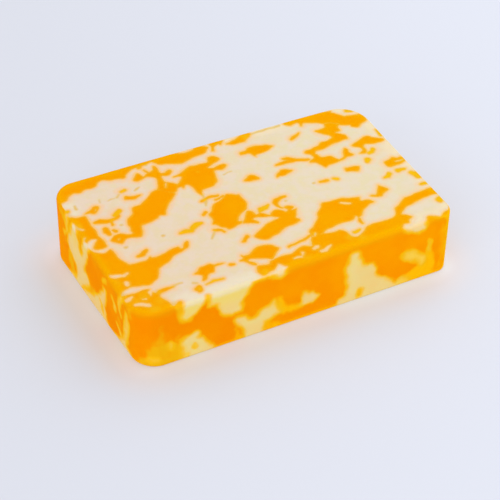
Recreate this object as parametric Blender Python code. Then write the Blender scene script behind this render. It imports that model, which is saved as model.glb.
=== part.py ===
# Marbled cheddar: one cut slab of pressed two-colour cheese, lying on its broad face.
# Units are metres, +Z is up. The long side runs along X, with the front long face at -Y.
# The origin is the middle of the slab's box, on the ground.

from math import cos, pi, radians, sin

import bmesh
import bpy
from mathutils import Vector

OBJECT_NAME = "marbled_cheddar"
SLAB_NAME = "cheese_slab"

# The slab as it was pressed and cut, before it went out of square
SLAB_LENGTH = 0.140
SLAB_WIDTH = 0.083
SLAB_HEIGHT = 0.03055

# Corners seen from above, in the order used below
CORNERS = ("front_left", "front_right", "back_left", "back_right")

# Radius of each upright corner
CORNER_RADIUS = {"front_left": 0.0095, "front_right": 0.0056, "back_left": 0.0091, "back_right": 0.0126}

# The rounded edges round the top and, tighter under the slab's weight, round the foot
TOP_FILLET = 0.0020
FOOT_FILLET = 0.0008
CORNER_SEGMENTS = 10
FILLET_SEGMENTS = 5

# How far each corner of the foot stands off a true rectangle, along X
FOOT_SHIFT = {"front_left": 0.0, "front_right": 0.0, "back_left": -0.0012, "back_right": 0.0004}

# How far each corner of the top leans out over its foot, along X and Y, and how far it rises
TOP_LEAN = {
    "front_left": Vector((-0.0030, -0.0003, -0.0012)),
    "front_right": Vector((-0.0003, 0.0003, 0.0001)),
    "back_left": Vector((-0.0002, 0.0011, 0.0011)),
    "back_right": Vector((0.0004, -0.0002, 0.0)),
}

# The soft block's sides swell a little, and its cut top is not quite level
BACK_BOW = 0.0004
LEFT_BOW = 0.0003
TOP_WAVE = 0.00012
TOP_WAVE_LENGTH = (0.085, 0.060)

# Spacing of the cuts that let the flat faces follow those swells
FACE_STEP = 0.010

CHEESE_COLOUR = (0.93, 0.55, 0.16, 1.0)
CHEESE_ROUGHNESS = 0.45


def clear_scene():
    """Remove whatever the file holds, so that only the cheese is left."""
    for thing in list(bpy.data.objects):
        bpy.data.objects.remove(thing, do_unlink=True)


def cheese_material():
    """One soft orange for the whole slab."""
    material = bpy.data.materials.new("marbled_cheese")
    material.use_nodes = True
    shader = material.node_tree.nodes["Principled BSDF"]
    shader.inputs["Base Color"].default_value = CHEESE_COLOUR
    shader.inputs["Roughness"].default_value = CHEESE_ROUGHNESS
    shader.inputs["Metallic"].default_value = 0.0
    material.diffuse_color = CHEESE_COLOUR
    return material


def plain_box(mesh):
    """A cube drawn out to the slab's size, with its underside on the ground."""
    bmesh.ops.create_cube(mesh, size=1.0)
    bmesh.ops.scale(mesh, verts=mesh.verts[:], vec=(SLAB_LENGTH, SLAB_WIDTH, SLAB_HEIGHT))
    bmesh.ops.translate(mesh, verts=mesh.verts[:], vec=(0.0, 0.0, SLAB_HEIGHT / 2))


def corner_name(point):
    side = "right" if point.x > 0 else "left"
    face = "back" if point.y > 0 else "front"
    return f"{face}_{side}"


def is_upright(edge):
    return abs(edge.verts[0].co.z - edge.verts[1].co.z) > 0.5 * SLAB_HEIGHT


def round_upright_corners(mesh):
    """Each upright edge gets its own radius."""
    uprights = {corner_name(edge.verts[0].co): edge for edge in mesh.edges if is_upright(edge)}
    for corner in CORNERS:
        bmesh.ops.bevel(
            mesh,
            geom=[uprights[corner]],
            offset=CORNER_RADIUS[corner],
            offset_type="OFFSET",
            segments=CORNER_SEGMENTS,
            profile=0.5,
            affect="EDGES",
        )


def round_rim(mesh, height, fillet):
    """Round the closed rim that lies at one height."""
    rim = [edge for edge in mesh.edges if all(abs(v.co.z - height) < 1e-6 for v in edge.verts)]
    bmesh.ops.bevel(
        mesh,
        geom=rim,
        offset=fillet,
        offset_type="OFFSET",
        segments=FILLET_SEGMENTS,
        profile=0.5,
        affect="EDGES",
    )


def cut_faces(mesh):
    """Cut the broad faces into squares, so that they can swell and twist."""
    sizes = (SLAB_LENGTH, SLAB_WIDTH, SLAB_HEIGHT)
    starts = (-SLAB_LENGTH / 2, -SLAB_WIDTH / 2, 0.0)
    for axis in range(3):
        normal = Vector((0.0, 0.0, 0.0))
        normal[axis] = 1.0
        count = round(sizes[axis] / FACE_STEP)
        for i in range(1, count):
            place = normal * (starts[axis] + sizes[axis] * i / count)
            geom = mesh.verts[:] + mesh.edges[:] + mesh.faces[:]
            bmesh.ops.bisect_plane(mesh, geom=geom, plane_co=place, plane_no=normal)


def corner_shares(point):
    """How much of each corner's movement a point takes, from its place in plan."""
    right = min(max(point.x / SLAB_LENGTH + 0.5, 0.0), 1.0)
    back = min(max(point.y / SLAB_WIDTH + 0.5, 0.0), 1.0)
    return {
        "front_left": (1 - right) * (1 - back),
        "front_right": right * (1 - back),
        "back_left": (1 - right) * back,
        "back_right": right * back,
    }


def pull_out_of_square(mesh):
    """Shift the foot's corners, and lean the top's corners out over them."""
    for vert in mesh.verts:
        shares = corner_shares(vert.co)
        up = vert.co.z / SLAB_HEIGHT
        for corner in CORNERS:
            vert.co += shares[corner] * (Vector((FOOT_SHIFT[corner], 0.0, 0.0)) + up * TOP_LEAN[corner])


def swell(mesh):
    """Bow the back and left sides outwards and let the top rise and fall; the foot stays flat."""
    for vert in mesh.verts:
        along = vert.co.x / (SLAB_LENGTH / 2)
        across = vert.co.y / (SLAB_WIDTH / 2)
        wave = sin(2 * pi * vert.co.x / TOP_WAVE_LENGTH[0]) * cos(2 * pi * vert.co.y / TOP_WAVE_LENGTH[1])
        vert.co.y += BACK_BOW * max(0.0, 1 - along ** 2) * max(0.0, across) ** 3
        vert.co.x -= LEFT_BOW * max(0.0, 1 - across ** 2) * max(0.0, -along) ** 3
        vert.co.z += TOP_WAVE * wave * (vert.co.z / SLAB_HEIGHT) ** 4


def centre_on_ground(mesh):
    """Put the middle of the slab's box over the origin, with its underside on the ground."""
    low = Vector([min(v.co[i] for v in mesh.verts) for i in range(3)])
    high = Vector([max(v.co[i] for v in mesh.verts) for i in range(3)])
    shift = Vector((-(low.x + high.x) / 2, -(low.y + high.y) / 2, -low.z))
    bmesh.ops.translate(mesh, verts=mesh.verts[:], vec=shift)


def make_slab(material):
    """The whole cheese: one solid, rounded all round."""
    mesh = bmesh.new()
    plain_box(mesh)
    round_upright_corners(mesh)
    round_rim(mesh, SLAB_HEIGHT, TOP_FILLET)
    round_rim(mesh, 0.0, FOOT_FILLET)
    cut_faces(mesh)
    pull_out_of_square(mesh)
    swell(mesh)
    centre_on_ground(mesh)
    bmesh.ops.recalc_face_normals(mesh, faces=mesh.faces[:])
    data = bpy.data.meshes.new(SLAB_NAME)
    mesh.to_mesh(data)
    mesh.free()
    data.shade_smooth()
    data.set_sharp_from_angle(angle=radians(40))
    data.materials.append(material)
    return bpy.data.objects.new(SLAB_NAME, data)


def main():
    clear_scene()
    collection = bpy.data.collections.new(OBJECT_NAME)
    bpy.context.scene.collection.children.link(collection)
    collection.objects.link(make_slab(cheese_material()))


main()
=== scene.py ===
# Looks for the marbled cheddar: one pressed slab of orange and cream curds on a plain pale floor.
# +X runs along the slab, its front long face is at -Y and +Z is up.
# The marbling is drawn in millimetres on the slab before it leans: x and y on top, x and z on the front.

from math import cos, pi, radians, sin

import bpy
import numpy as np
from mathutils import Matrix, Vector


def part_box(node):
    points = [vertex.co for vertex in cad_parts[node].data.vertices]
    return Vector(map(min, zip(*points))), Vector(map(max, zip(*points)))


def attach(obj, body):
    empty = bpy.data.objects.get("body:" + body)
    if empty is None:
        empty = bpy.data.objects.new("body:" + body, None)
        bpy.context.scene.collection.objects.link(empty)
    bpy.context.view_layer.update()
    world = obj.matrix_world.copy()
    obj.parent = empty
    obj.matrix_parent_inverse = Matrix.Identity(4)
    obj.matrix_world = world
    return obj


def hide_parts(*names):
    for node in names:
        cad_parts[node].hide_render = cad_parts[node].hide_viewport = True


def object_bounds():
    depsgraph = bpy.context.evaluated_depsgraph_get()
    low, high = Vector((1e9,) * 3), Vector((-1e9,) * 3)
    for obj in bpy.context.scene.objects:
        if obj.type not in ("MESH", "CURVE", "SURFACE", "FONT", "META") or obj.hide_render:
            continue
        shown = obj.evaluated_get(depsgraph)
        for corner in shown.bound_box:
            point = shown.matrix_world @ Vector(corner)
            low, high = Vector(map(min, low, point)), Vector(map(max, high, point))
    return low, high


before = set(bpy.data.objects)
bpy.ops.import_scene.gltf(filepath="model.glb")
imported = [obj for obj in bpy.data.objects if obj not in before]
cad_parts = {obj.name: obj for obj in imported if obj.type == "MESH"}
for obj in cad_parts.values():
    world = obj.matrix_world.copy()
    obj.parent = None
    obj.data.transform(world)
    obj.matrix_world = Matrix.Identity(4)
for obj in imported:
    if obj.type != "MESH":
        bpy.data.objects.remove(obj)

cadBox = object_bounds()
mm = 0.001
rng = np.random.default_rng(27)

# The slab as it was pressed and cut, then how it went out of square, all in mm
slab = {
    "length": 140.0,
    "width": 83.0,
    "height": 30.55,
    "cornerRadius": {"frontLeft": 9.5, "frontRight": 5.6, "backRight": 12.6, "backLeft": 9.1},
    "topFillet": 2.0,
    "footFillet": 0.8,              # tighter, under the slab's own weight
    "footShift": {"frontLeft": 0.0, "frontRight": 0.0, "backRight": 0.4, "backLeft": -1.2},
    "lean": {                       # how far each top corner stands out over its foot: x, y, rise
        "frontLeft": (-3.0, -0.3, -1.2),
        "frontRight": (-0.3, 0.3, 0.1),
        "backRight": (0.4, -0.2, 0.0),
        "backLeft": (-0.2, 1.1, 1.1),
    },
    "backBow": 0.4,
    "leftBow": 0.3,
    "topWave": (0.12, 85.0, 60.0),  # height and the two wave lengths
    "cellsAlong": 288,              # squares of the top's net; even numbers
    "cellsAcross": 168,
    "wallRows": 30,
    "filletRows": 5,
    "waviness": 0.07,               # how far the faces dip between their high places
    "dipSteps": (16.0, 6.0),        # how far apart the broad dips lie, and the small ones
    "dipShares": (0.5, 0.3, 0.2),   # what is the same all over, then the broad and the small dips
    "seamDepth": 0.05,              # the crease where two curds meet
    "seamWidth": 0.55,
    "coreInset": 12.0,              # the walls dip towards a core that lies this far inside them
}

# How the marbling is worked out from its drawn outlines, in mm. A place's turn goes from 0 on the flat top
# through 1 on the upright walls to 2 on the flat underside.
marbling = {
    "reach": 3.0,                   # a curd's depth is counted up to this far from its edge
    "ragged": 0.22,                 # how far the drawn edges are pushed about
    "raggedStep": 2.3,
    "raggedWall": 2.0,              # times further on the walls
    "curveCuts": 4,                 # straight pieces between two drawn points
    "sightAcross": (0.586, 1.020),  # slope of the line of sight over the rim, along x and y
    "threadSpread": 0.15,           # added to the half width of every fleck of the top
    "yellowEdge": (-0.5, 0.3),      # depth in a yellow thread where its colour comes in
    "faintEdge": (-0.5, 0.35),
    "faintShare": 0.95,
    "smearInside": 0.6,             # share of a smear's softness that lies inside its line
    "wallLift": 0.75,               # the walls are drawn this much too high
    "roundSeam": 140.0,             # distance round, leftwards, where its count turns over
    "rightFade": (133.0, 140.0),    # distance round where the drawn front gives way to the unseen walls
    "leftFade": (-96.0, -84.0),     # and where the drawn left end does
    "foldFade": (3.0, 8.0),         # how far down the unseen walls the curds of the top run on
    "foldSpread": 0.4,              # and how far the orange spreads there
    "wallTurn": (0.35, 0.75),       # turn over which the walls' drawing takes over from the top's
    "underTurn": (1.75, 2.0),       # and the underside's from the walls'
    "pressedTurn": (0.2, 0.95),     # turn over which a place comes to look pressed, not cut
    "underCut": 0.85,               # share of that look that the underside loses again
}

# Orange curds on the cream of the top, as closed outlines
topOrange = [
    # left end, from the back rim to the front corner
    [(-74, 30), (-70.5, 30.2), (-67, 30.6), (-65.8, 31.8), (-65, 33), (-62.3, 34), (-60.3, 33),
     (-57.5, 33.9), (-53.2, 34.2), (-51.5, 35.7), (-49, 36.4), (-46, 35.3), (-42.5, 34.6), (-41, 34),
     (-39.6, 34.5), (-38.8, 35.8), (-36, 37.6), (-33, 38), (-31, 38.2), (-28, 38.6), (-26, 39.2), (-26, 44),
     (-66, 45), (-75, 40)],
    [(-64, 20.4), (-62, 21.3), (-60, 22.4), (-59, 23.2), (-57.5, 23.3), (-56.8, 22.6), (-57.2, 21.3),
     (-58.3, 20), (-59.2, 19.2), (-60.5, 19.2), (-61.5, 19.9)],
    [(-70.8, 20.6), (-69, 21), (-67.4, 20), (-65.4, 20), (-63.9, 19.6), (-63.3, 17), (-63.6, 12),
     (-63.3, 8.5), (-63.5, 6.3), (-62.6, 3), (-63, 0.8), (-63.4, -0.7), (-65.5, -1.1), (-67.6, -0.7),
     (-68.3, 0.6), (-67.4, 2.2), (-65, 4.6), (-66.2, 5.5), (-68, 5.4), (-70, 4.4), (-71.5, 5), (-72, 12),
     (-71.6, 18)],
    [(-74, 0), (-70.2, -0.2), (-69.2, -1.2), (-68, -2.2), (-66.5, -3.1), (-65, -3.5), (-63.6, -2.9),
     (-62.4, -2.7), (-61.8, -6), (-61.2, -10), (-60, -12.8), (-58.5, -13.6), (-54, -14), (-52, -13.4),
     (-50.8, -12.5), (-49.9, -13.4), (-47.5, -13.6), (-42.5, -12.6), (-38.9, -11.9), (-38.2, -13.2),
     (-37.3, -13.7), (-36.6, -12.4), (-35.6, -11), (-34.4, -10.6), (-33.6, -11.4), (-35, -14),
     (-36.5, -14.8), (-40.5, -15.6), (-42.5, -16.2), (-46, -18.6), (-50, -20), (-50.9, -21.2), (-51.6, -23),
     (-53, -24.8), (-55, -26), (-57.6, -26.9), (-60.5, -25.9), (-62.5, -25.1), (-64.5, -24.9), (-68, -25.8),
     (-69.5, -27), (-71, -28.6), (-75, -30)],
    [(-75, -28), (-69, -28.2), (-62, -28.3), (-59, -28.6), (-58.2, -29.1), (-59.8, -30.2), (-59.7, -31.5),
     (-59.4, -32.6), (-58.3, -31.2), (-57.7, -30.9), (-57, -31.8), (-55.4, -30.7), (-53.5, -30.5),
     (-50.2, -31.1), (-49.6, -31.6), (-52.5, -32.5), (-55, -32.6), (-56.3, -33.8), (-55.5, -36.5),
     (-54.8, -38.8), (-54.2, -41.3), (-53.2, -41.2), (-51.4, -39.7), (-50.6, -40.1), (-50.4, -41),
     (-51.5, -44), (-51.5, -47), (-75, -47)],
    [(-60.4, 1.9), (-59.5, 3.3), (-58.4, 4.3), (-57.2, 4.4), (-55.8, 4.2), (-54, 3.3), (-52, 2.4),
     (-49, 2.4), (-48.4, 0.5), (-49.5, -0.9), (-51, -0.8), (-53.5, 0.3), (-55, -0.2), (-57, -1.4),
     (-58, -1.1), (-59, -0.3), (-60.2, 1)],
    # the broken band that runs from the left end to the back rim
    [(-51, 3.2), (-50.6, 6), (-50.8, 7.5), (-49.9, 10.2), (-47.6, 12.2), (-46.4, 13.4), (-45.1, 16.2),
     (-43, 16.8), (-41.5, 17), (-38.5, 18.6), (-35.9, 20.5), (-34.5, 22), (-31.5, 22.3), (-29.4, 21.6),
     (-27.5, 19.4), (-26, 17.4), (-26.2, 16.3), (-29, 14), (-32, 11.2), (-33.3, 9.6), (-34.8, 7),
     (-37.4, 7.3), (-38.6, 6.2), (-42, 5.6), (-45.6, 5.1), (-46.4, 4), (-47, 2), (-48.7, -0.7),
     (-50.2, -0.6)],
    [(-31.5, 22.3), (-30.5, 23.5), (-29.5, 26.5), (-29.2, 28), (-29.4, 29.5), (-31.5, 30.6), (-33, 31),
     (-36, 30.2), (-38, 31.3), (-36.6, 33.2), (-35.2, 34.8), (-33.9, 34.7), (-33.2, 32.2), (-31, 33),
     (-28.2, 33.8), (-27.3, 34.8), (-26.8, 36.2), (-25.9, 36), (-25.5, 34.8), (-25.9, 32.3), (-25, 30.9),
     (-22, 31.4), (-21.2, 31), (-21.2, 29.9), (-23.5, 28.4), (-26.2, 28.8), (-26.4, 25.7), (-24.4, 24),
     (-22.8, 22.2), (-22.2, 20.6), (-23.2, 19.8), (-25.5, 17.8), (-27.6, 18), (-30, 20.4)],
    [(-24, 21), (-22.8, 22.2), (-20.3, 23.8), (-19.3, 25), (-20.3, 26), (-22.2, 26.2), (-22.3, 26.9),
     (-20.2, 27.2), (-18.5, 28), (-16.5, 28.9), (-14.5, 29.8), (-12.5, 30.1), (-7, 29.8), (-5.3, 30),
     (-4, 32), (-2.6, 32.4), (-1.2, 32), (0, 29.6), (-2.5, 28.2), (-5.4, 27), (-6.8, 26.4), (-4.5, 25.2),
     (-2.8, 25.7), (0.2, 26.1), (1, 25.4), (0.6, 24.4), (-1.8, 22.8), (-4.9, 23.3), (-6.2, 20),
     (-7.2, 16.8), (-8.3, 15.8), (-9.8, 14.8), (-13.5, 14.6), (-15.4, 14.2), (-16.2, 11.9), (-16.7, 12),
     (-17.9, 14.5), (-18.1, 18), (-18.8, 19.6), (-20, 19.9), (-21.2, 18.4), (-22, 19.5), (-23.2, 19.8)],
    [(-45.8, 21.9), (-45.4, 23.3), (-44.6, 24), (-42, 23), (-39.3, 22.5), (-38.8, 22), (-41, 20.8),
     (-42.2, 20.6), (-44.8, 21.4)],
    # along the back rim
    [(-26.5, 40.5), (-26.6, 39), (-25, 37.2), (-23.8, 36.2), (-20.5, 35), (-17.5, 33.6), (-14.8, 33),
     (-12, 34), (-8, 34.7), (-4.5, 35.3), (-3, 36), (-1, 38), (-1.2, 39), (-4, 40.5), (-6, 40.6),
     (-7.8, 39.3), (-13, 39.3), (-16, 41), (-26, 43)],
    [(0, 43), (0, 40.6), (0.2, 37.8), (-0.2, 36.5), (-0.7, 35.3), (0.3, 34.9), (0.9, 36), (1.5, 37.3),
     (2.6, 38), (3.8, 38.2), (4.5, 37.4), (6, 39), (6.8, 40), (6.5, 43)],
    [(6.6, 37.4), (7.8, 36.7), (9, 35.9), (10.5, 35.4), (14.5, 35.5), (16, 36.5), (18.6, 38.3),
     (19.6, 39.4), (18.5, 40.6), (15.5, 40.6), (14, 39.4), (10, 38.3), (8.4, 37.9)],
    # separate curds behind the middle
    [(9, 28.4), (9.6, 29.8), (12.3, 30.3), (14.5, 31.5), (18, 31.1), (20, 30.7), (21.8, 30), (23, 29.3),
     (24.3, 28.2), (22, 27), (18.5, 25.8), (15, 25.8), (14.3, 24.8), (13.5, 26.8), (12.5, 27.8), (9.8, 28)],
    [(2.3, 12.6), (3.2, 13.6), (4.5, 14.2), (6, 15), (7.5, 14.6), (9.2, 12.2), (9.2, 11.2), (8.2, 10.7),
     (5, 11.2), (3.6, 11.7)],
    [(15.6, 8.6), (16.4, 10.4), (17.6, 11.4), (19.2, 12.3), (20.5, 12.3), (23.7, 10.4), (22.6, 9.6),
     (19, 8.8), (17.3, 8.9)],
    # the large broken mass at the back right
    [(35, 39), (35.6, 38.2), (37.2, 37.4), (40.2, 38), (41.2, 37.2), (41.2, 35.8), (40.6, 34.9), (41.6, 35),
     (42.6, 36), (44, 36.3), (47.5, 34.6), (50, 33), (50.8, 32.6), (53.5, 31.4), (55.6, 30), (56.2, 28.7),
     (59.2, 27.5), (60.3, 27), (60.3, 25.8), (62.6, 24.6), (65, 26), (68, 26.8), (68.7, 28), (68.7, 30.5),
     (68.4, 32), (67.5, 32.7), (66, 32.6), (63, 33.6), (61.4, 33.8), (60.4, 34.8), (58.6, 37.2),
     (57.6, 38.2), (57.8, 39.3), (55, 40.3), (52, 43), (38, 43), (35.3, 40.5)],
    [(50.8, 32.6), (50, 30.6), (48.6, 30), (45.5, 30), (44.4, 29.6), (44.6, 28.7), (46.3, 26.8),
     (47.3, 25.7), (48.4, 25), (48.8, 23), (46.5, 21.7), (43, 21.9), (40.5, 20.5), (37, 19.6), (35, 19.4),
     (33.8, 18.8), (33.5, 17.9), (35.3, 16.2), (35.6, 14.8), (37.2, 15), (37.5, 16.4), (38.4, 17.3),
     (42, 17.3), (45.5, 18.3), (49, 18.8), (53, 19), (54.8, 19.2), (55.2, 22), (53.2, 24.2), (52.2, 25),
     (53.5, 25.3), (54.8, 25.8), (55.1, 28.3), (56.2, 29.6), (54, 32)],
    [(33.5, 17.9), (35.3, 16.2), (35.6, 14.8), (35, 13.6), (32.9, 12.6), (32.6, 11.5), (34.6, 10.5),
     (35.4, 9.5), (36.2, 6.6), (36.8, 6), (39, 6.8), (43, 7.2), (46, 7.3), (48.5, 8.3), (51.8, 8.8),
     (50.8, 11), (51.2, 12.3), (50.9, 13.6), (50, 14), (48.3, 12), (47.9, 10.5), (47, 9), (44.6, 8.4),
     (43.8, 9.2), (42.7, 11.6), (41.5, 12.3), (38.6, 12.9), (38, 15.2), (37.5, 16.4), (38.4, 17.6),
     (36, 18.6)],
    [(53.8, 14.6), (56, 15.8), (59.3, 16.8), (60.8, 17.4), (62.6, 17.4), (63.9, 16.7), (64.8, 15.5),
     (67.5, 13.9), (68.3, 13), (67.8, 12), (65, 11.5), (63.2, 11.4), (60.6, 12.4), (59.3, 12.7),
     (58.3, 11.8), (58, 10.4), (57.2, 7.9), (56.2, 7.3), (53.9, 8.3), (55.7, 9.3), (56.3, 10.3),
     (56.2, 11.5), (54.4, 13.4)],
    [(43, 0.2), (43.2, 1.4), (44, 2.5), (45.2, 2), (48.5, 1.6), (49.7, 0.6), (48.3, -1.3), (47.2, -1.8),
     (44.8, -0.6)],
    [(59.9, -3), (60.1, -1.6), (61, -0.8), (64, -0.1), (65.2, 0.4), (66.8, -0.6), (68.6, -0.9),
     (69.2, -2.5), (68.4, -4.2), (66.8, -5), (63, -5), (61.5, -5.3), (60.3, -4.7)],
    # the middle
    [(-13.8, 5.3), (-12, 5.9), (-10.3, 6.6), (-7.7, 8.2), (-6.6, 7.8), (-4, 6.3), (-3, 5.9), (-2.8, 2.5),
     (-2.8, 0.5), (-3.2, -1.2), (-4.8, -3.6), (-7.2, -5), (-9.3, -6.5), (-9.8, -7.6), (-9.4, -9),
     (-10, -10.4), (-12, -11), (-15.7, -11.6), (-17, -9.9), (-18.3, -9), (-19.6, -7), (-20.9, -6),
     (-19.6, -4), (-19.3, -2.5), (-19.8, -0.2), (-17.7, 1.4), (-15.6, 3.9), (-14.8, 4.8)],
    [(-9.9, -10.3), (-8.7, -8.9), (-7.3, -7.2), (-6, -5.4), (-4.8, -4.5), (-3.6, -5.2), (-2.8, -6.8),
     (-2.4, -8.3), (-0.8, -7.9), (0.5, -8.6), (1.6, -10.2), (2.6, -11), (3.6, -13), (2.4, -12.1),
     (0.8, -11.4), (-1.2, -10.7), (-3.2, -10), (-5, -10.1), (-3.8, -12.3), (-4.1, -13.3), (-5.4, -13),
     (-8.7, -11), (-10, -10.6)],
    [(2.3, -10.8), (3.5, -9.6), (5, -9), (6.5, -9.3), (7.8, -10.3), (8.8, -11.4), (9.9, -11), (9.2, -9.2),
     (10.5, -8.7), (12, -9.2), (12.9, -10.3), (11.5, -11.8), (13.6, -11.8), (13, -13.2), (11.5, -15.8),
     (11, -17), (11.8, -18.2), (11.5, -19.2), (10, -19.6), (5.5, -20.1), (3.5, -20.5), (0.5, -22),
     (-2.7, -23), (-5.8, -23.7), (-8, -22), (-9.4, -19.8), (-8.7, -18.8), (-6, -17.1), (-3, -15.6),
     (-1.8, -15), (2, -14.3), (4.5, -13.9), (3.8, -13), (2.6, -12)],
    [(-11.8, -25.6), (-9.5, -25.4), (-7.6, -25.9), (-5.6, -27.2), (-4.2, -28.7), (-3.5, -29.7),
     (-4.3, -30.9), (-6.2, -32.2), (-8, -33.6), (-9, -34.3), (-10.6, -33.6), (-12.8, -32.6), (-14.6, -31.4),
     (-16.6, -30.9), (-17.6, -31.6), (-16.2, -33), (-15.6, -34.3), (-16.5, -35), (-18, -33.6),
     (-19.3, -31.1), (-20.8, -30.3), (-20.4, -29.5), (-18.9, -29), (-19.3, -27.6), (-18.8, -27.3),
     (-18, -28.1), (-16, -28), (-14, -26.7)],
    [(-39.9, -28.8), (-38, -27.6), (-36, -26.4), (-34.5, -26.3), (-32.2, -26), (-31.3, -26.9),
     (-30.4, -27.5), (-29, -27.3), (-26.8, -28.4), (-29.8, -28.6), (-31, -29), (-32.3, -31), (-34.8, -31.6),
     (-36.6, -33.4), (-38, -33.9), (-38.7, -33.3), (-37.6, -31), (-39, -29.6)],
    # the front rim and the mass behind it
    [(-16.5, -35.5), (-15, -35.4), (-12, -36.3), (-11, -36), (-10.3, -35), (-9, -34.7), (-7, -34.5),
     (0, -34.6), (3, -33.3), (5, -33), (6.5, -33.4), (8.5, -34.6), (9.7, -32), (10.7, -29.3), (12, -36),
     (12, -47), (-8.5, -47), (-7, -42.7), (-5.5, -40.6), (-6.6, -39.9), (-8.2, -38), (-9.2, -38.4),
     (-11.2, -40), (-14, -40.7), (-15.3, -41.5), (-16.5, -41.4), (-17.5, -38.8), (-17.2, -37)],
    [(11, -28), (11.3, -26.7), (12.3, -25.7), (13.8, -24.9), (16.3, -22.5), (18.6, -20.4), (19.2, -19),
     (20, -17.6), (22.6, -15.6), (23.3, -14.2), (24.5, -13.3), (26, -13.3), (28, -13.7), (32, -13.8),
     (35.5, -15.3), (39, -16.3), (39.8, -17), (39.2, -18.3), (39.7, -19.1), (42.3, -19.9), (43.6, -21.8),
     (41, -22.8), (38, -24), (35.6, -26.5), (34.6, -27.4), (33, -27.4), (32.5, -26.5), (30, -28),
     (26, -27.7), (22, -28.1), (18.5, -28.6), (16.3, -29.5), (14, -30.4), (11.4, -29.6)],
    [(9, -33), (11.4, -29.6), (13.6, -29.2), (16.3, -29.5), (19, -30.8), (22.8, -30.8), (24.4, -33),
     (25, -35.6), (26.8, -37.2), (29.6, -36.6), (31.3, -35.6), (33.3, -33.8), (37, -33.5), (45, -33.8),
     (47.4, -31.8), (49, -29.3), (51.8, -27.8), (54.5, -25.7), (55.8, -24.9), (59.5, -25), (61.5, -24.6),
     (72, -24.6), (72, -28.7), (63.5, -28.8), (59, -29.7), (55, -30.2), (52, -31.3), (49.4, -33.4),
     (51.3, -35), (52.4, -37), (50.5, -38.2), (49.2, -39.9), (46.8, -39.6), (45.4, -41.5), (44.3, -45),
     (44, -48), (8, -48)],
    [(44, -18.2), (44.8, -17.7), (46.3, -18), (47.6, -17), (49.5, -14.4), (50.2, -13.3), (51, -14),
     (52.8, -17.2), (52, -18.2), (49.3, -19.4), (48, -20.2), (45.3, -19.2)],
    [(54.8, -44.5), (56, -43), (57.4, -40.3), (58.5, -39.5), (59.7, -40), (62.4, -41.9), (63.8, -41.1),
     (65, -40.3), (66.5, -40), (68, -39.8), (70, -39), (72, -46), (54, -48)],
]

# Small flecks and threads on the top: x, y and half width along each
topFlecks = [
    [(-54.8, -10.9, 0.5), (-52.8, -10.4, 0.9), (-51.2, -9.3, 0.8), (-50.2, -8.6, 0.4)],
    [(-61.5, 14, 0.8), (-59.8, 14, 1.3), (-57.8, 13.1, 1.2), (-55.5, 12.9, 0.9), (-53.5, 13.2, 0.8),
     (-52, 14.2, 0.9)],
    [(-55.8, 12, 0.5), (-56, 10.2, 0.5)],
    [(-59.6, 9, 1.1), (-59.8, 7.3, 1.3), (-59.7, 5.8, 0.9)],
    [(-57, 7, 0.6), (-56.6, 6.2, 0.8)],
    [(-32.5, 37.7, 0.7), (-32, 37.7, 0.6)],
    [(-31.2, 35.8, 0.2), (-30.8, 34.4, 0.35), (-30.2, 33.2, 0.4)],
    [(32.9, 28.8, 0.5), (34.5, 29.6, 0.8), (36.3, 30.4, 0.6), (38, 31.4, 0.3)],
    [(19.3, 16.3, 0.5), (22, 16, 0.8), (25, 16.3, 1), (28, 15.8, 1)],
    [(23.7, 18.5, 0.7), (25.3, 18, 1), (27, 16.9, 1.1), (29, 15.3, 1), (31, 14.4, 0.8), (32.7, 13.8, 0.7)],
    [(30.5, -1.5, 0.6), (32, -1.7, 0.7), (33.4, -1.7, 0.5)],
    [(12.7, -3.2, 0.7), (10.5, -3.3, 0.9), (8.6, -3.9, 1.2), (7.6, -5, 1.1), (7.6, -6.5, 0.7), (8, -8, 0.4),
     (8.6, -9, 0.4)],
    [(-21.4, 0.8, 0.6), (-19.9, 1.7, 0.7)],
    [(-18.2, 8.6, 0.7), (-16, 9.2, 0.6), (-13, 9.2, 0.7), (-11, 9.1, 0.5)],
    [(-13, 7, 0.5), (-11, 7.4, 0.4), (-9, 7.8, 0.4)],
    [(-21.8, -9, 0.4), (-20.3, -9.9, 0.8), (-19, -10.7, 0.6), (-18.4, -12, 0.5)],
    [(-14.3, -20.4, 0.8), (-13.2, -19.3, 0.8), (-11.9, -18.6, 0.9)],
    [(-25.0, -30.2, 0.75), (-23.8, -30.4, 0.5)],
    [(-42.6, -36.6, 0.9), (-41.2, -36, 1), (-41.7, -37.8, 1)],
    [(-0.3, -30.8, 0.4), (3, -30.3, 0.4), (6.5, -29.9, 0.5), (9, -29.4, 0.5), (10.5, -28.6, 0.5)],
    [(33, -28.2, 0.5), (32.5, -29.8, 0.6), (32.6, -31.5, 0.4)],
]

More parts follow.
